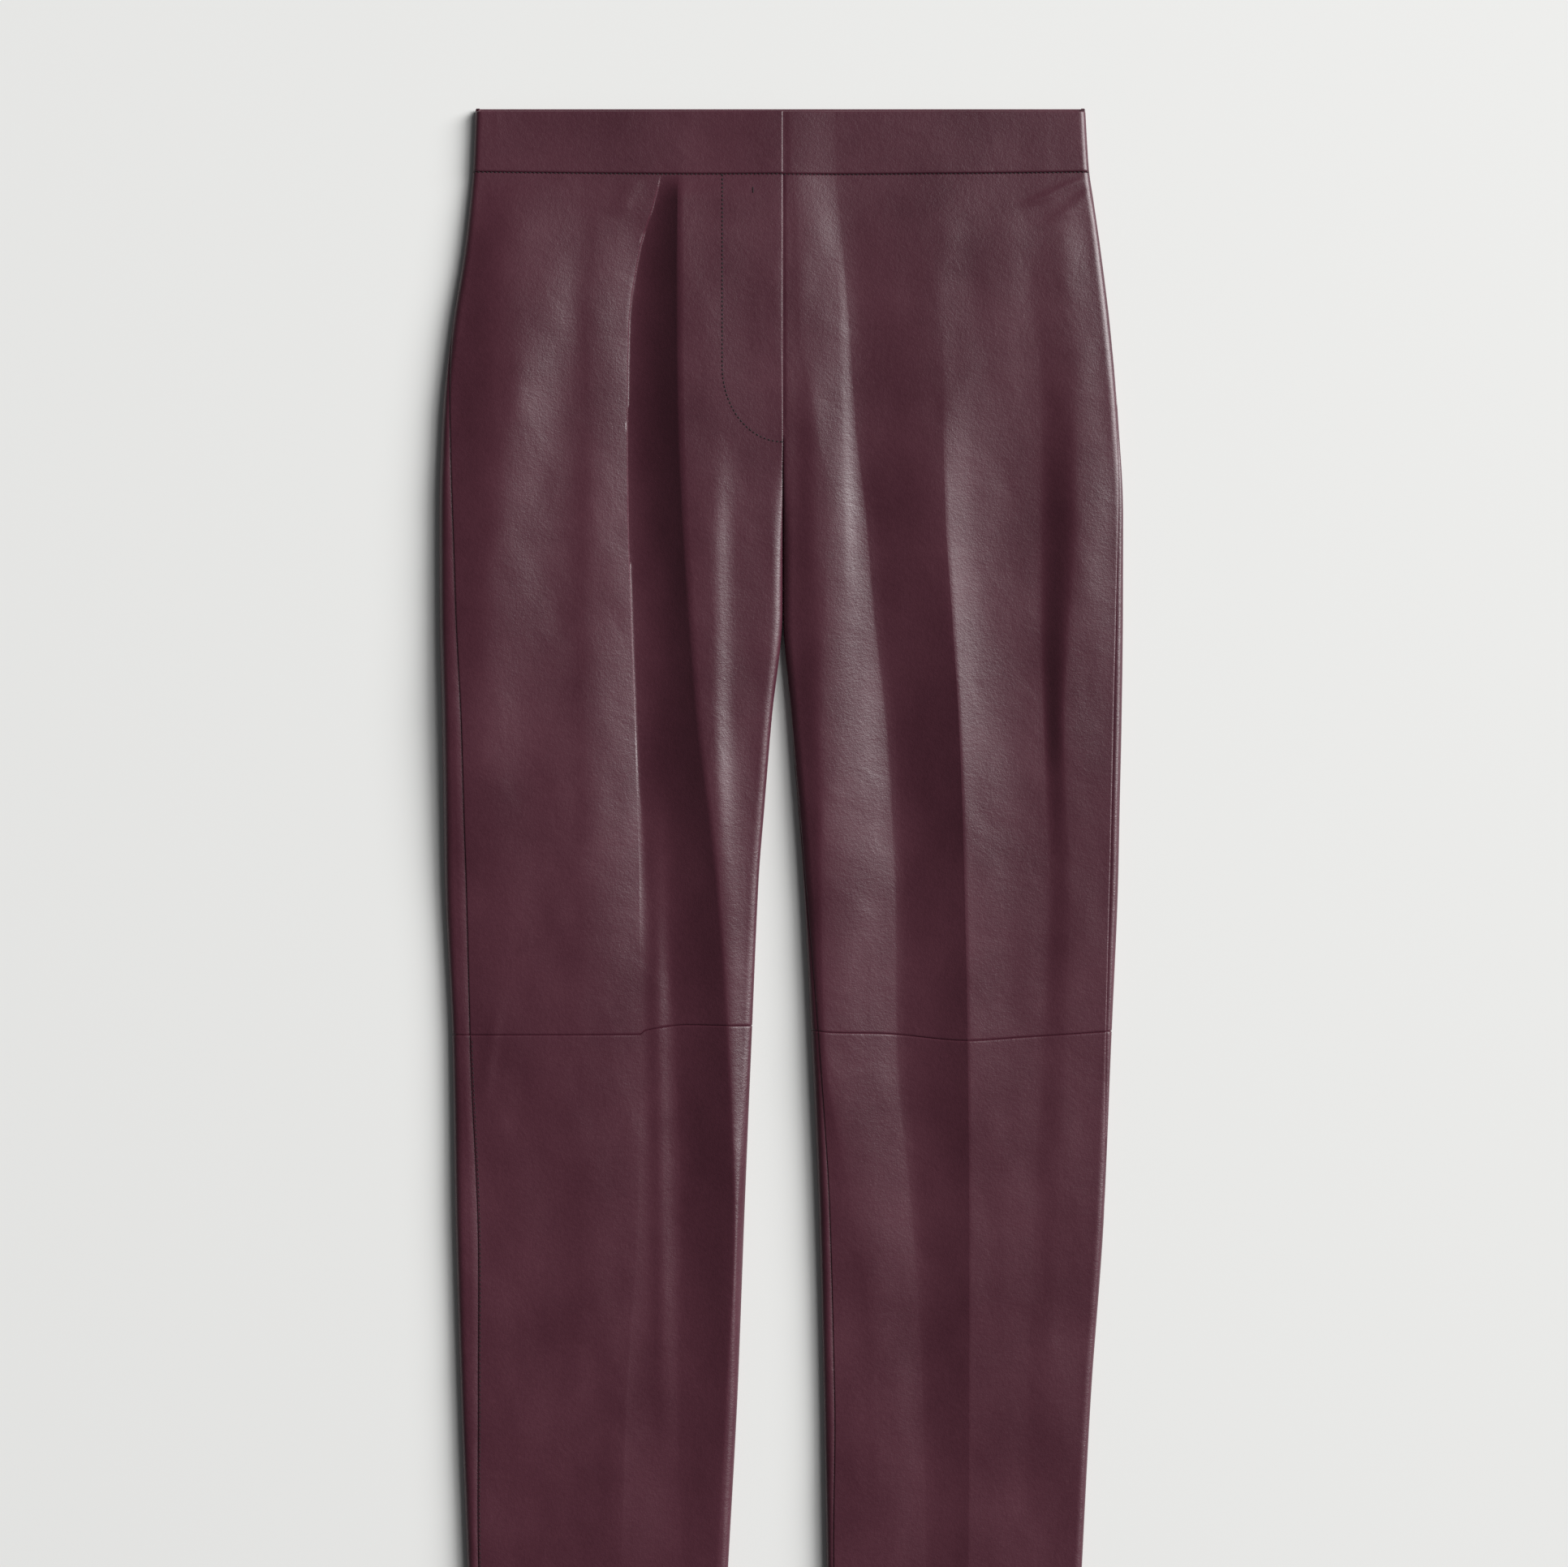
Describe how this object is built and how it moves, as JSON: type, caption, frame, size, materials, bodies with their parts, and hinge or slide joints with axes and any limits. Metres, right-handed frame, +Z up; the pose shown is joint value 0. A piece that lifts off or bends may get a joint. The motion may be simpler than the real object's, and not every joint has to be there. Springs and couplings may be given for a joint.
{
  "type": "leather trousers",
  "caption": "High-waisted tapered leather trousers with a plain waistband, fly front, pressed creases and knee seams, laid flat on their back.",
  "frame": {"origin": "middle of the garment's outline, on the surface that its back lies on", "axes": "+Y towards the waist, +Z up out of the front, +X towards the wearer's left leg"},
  "size_m": [0.4373, 1.041, 0.014],
  "materials": {
    "nappa_leather": "smooth soft-gloss nappa, dark burgundy",
    "zip_tape": "woven zip tape, matt, dark burgundy"
  },
  "bodies": {
    "root": {"waistband_front_right": "nappa_leather", "waistband_front_left": "nappa_leather", "waistband_back": "nappa_leather", "front_upper_right": "nappa_leather", "front_lower_right": "nappa_leather", "back_upper_right": "nappa_leather", "back_lower_right": "nappa_leather", "front_upper_left": "nappa_leather", "front_lower_left": "nappa_leather", "back_upper_left": "nappa_leather", "back_lower_left": "nappa_leather", "fly_zip": "zip_tape", "fly_shield": "nappa_leather"}
  },
  "joints": []
}
